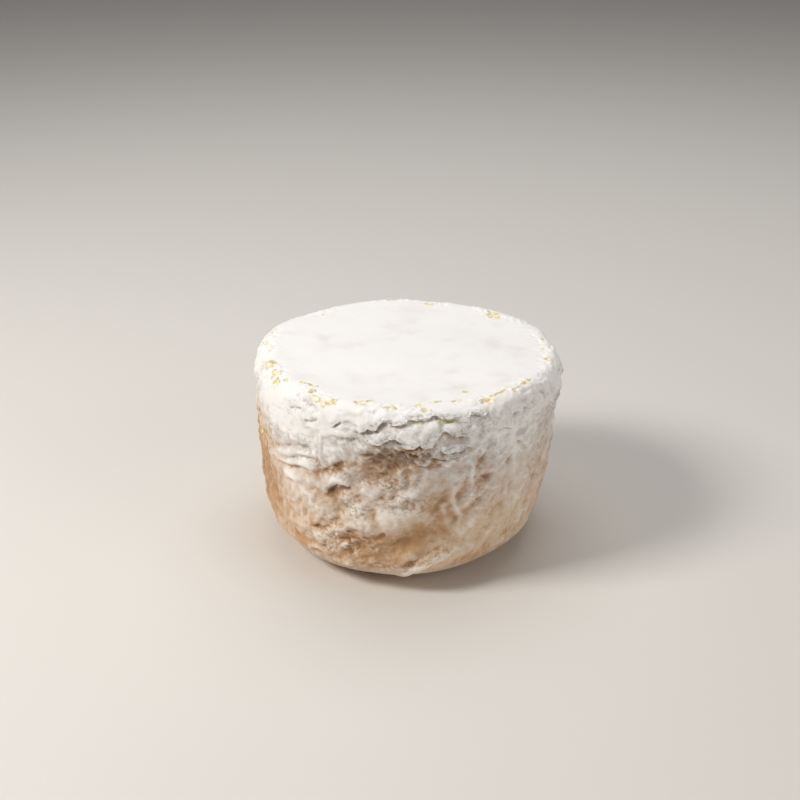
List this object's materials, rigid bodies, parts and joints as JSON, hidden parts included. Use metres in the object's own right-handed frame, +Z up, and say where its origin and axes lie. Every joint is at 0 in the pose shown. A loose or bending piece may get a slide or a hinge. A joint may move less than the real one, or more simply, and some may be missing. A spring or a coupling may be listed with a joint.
{
  "type": "cheese wheel",
  "caption": "Whole uncut wheel of soft-ripened cheese in a wrinkled white bloomy rind, standing on its flat foot.",
  "frame": {"origin": "on the ground under the middle of the wheel, at the centre of its box seen from above", "axes": "+Z up through the top of the wheel, the front looks along -Y, +X to the right seen from the front"},
  "size_m": [0.111, 0.1118, 0.0706],
  "materials": {
    "rind": "matt velvety white mould over a wrinkled cream and beige rind, with straw-yellow paste showing at the rim"
  },
  "bodies": {
    "root": {"cheese_wheel": "rind"}
  },
  "joints": []
}
